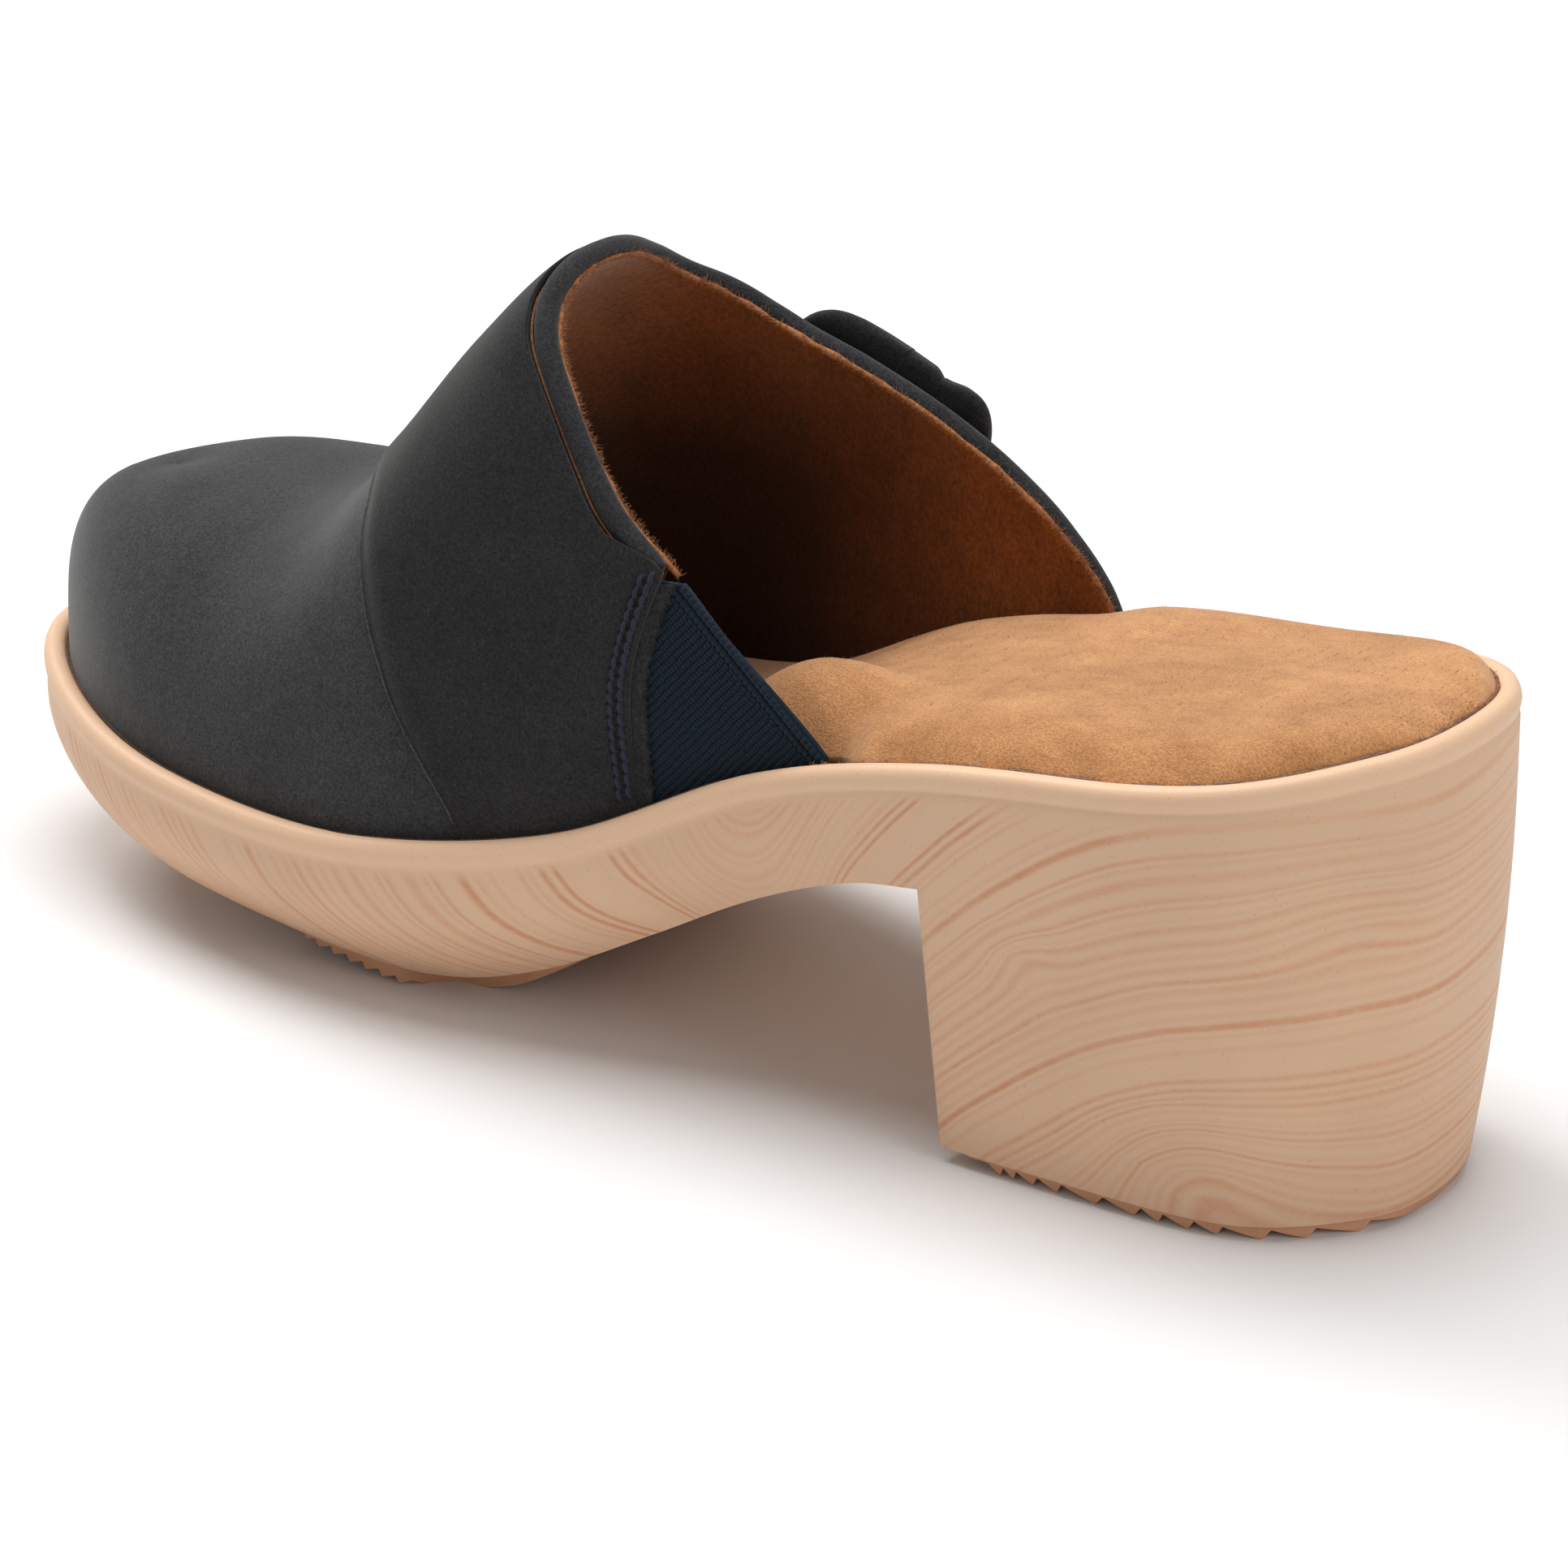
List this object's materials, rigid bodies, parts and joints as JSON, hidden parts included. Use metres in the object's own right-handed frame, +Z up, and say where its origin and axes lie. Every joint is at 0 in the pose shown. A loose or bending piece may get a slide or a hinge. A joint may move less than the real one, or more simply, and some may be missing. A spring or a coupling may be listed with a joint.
{
  "type": "mule clog",
  "caption": "Right mule clog: closed nubuck toe, wide strap with a bow, elastic gore, open back, padded footbed, wood-look platform sole with a block heel",
  "frame": {"origin": "on the ground, below the middle of the shoe's bounding box; the treads stand on z = 0", "axes": "+X towards the toe, +Y towards the inner (medial) side of this right shoe, +Z up"},
  "size_m": [0.256, 0.0955, 0.1169],
  "materials": {
    "sole_woodlook": "moulded polyurethane printed with wood grain, satin",
    "tread_rubber": "matte moulded rubber",
    "nubuck_charcoal": "fine nubuck nap",
    "nubuck_strap": "fine nubuck nap, cut edges",
    "facing_dark": "split leather, fuzzy",
    "elastic_navy": "ribbed knitted elastic",
    "thread_navy": "waxed sewing thread",
    "lining_tan": "microsuede, brushed",
    "footbed_tan": "microsuede with a nap",
    "foam": "open-cell foam",
    "heel_gel": "soft cushion foam",
    "board": "cellulose insole board",
    "cork": "cork and rubber filler",
    "puff_resin": "thermoplastic stiffener sheet",
    "spring_steel": "spring steel strip",
    "rivet_brass": "plated rivets"
  },
  "bodies": {
    "root": {"sole_unit": "sole_woodlook", "forefoot_tread": "tread_rubber", "heel_tread": "tread_rubber", "bottom_filler": "cork", "shank": "spring_steel", "shank_rivets": "rivet_brass", "insole_board": "board", "footbed_foam": "foam", "arch_pad": "foam", "heel_pad": "heel_gel", "footbed_cover": "footbed_tan", "vamp_lining": "lining_tan", "strap_lining": "lining_tan", "toe_puff": "puff_resin", "vamp": "nubuck_charcoal", "elastic_gore": "elastic_navy", "gore_facing": "facing_dark", "strap_overlay": "nubuck_strap", "gore_stitching": "thread_navy", "collar_binding": "nubuck_charcoal", "bow_upper_loop": "nubuck_strap", "bow_lower_loop": "nubuck_strap", "bow_knot": "nubuck_strap"}
  },
  "joints": []
}
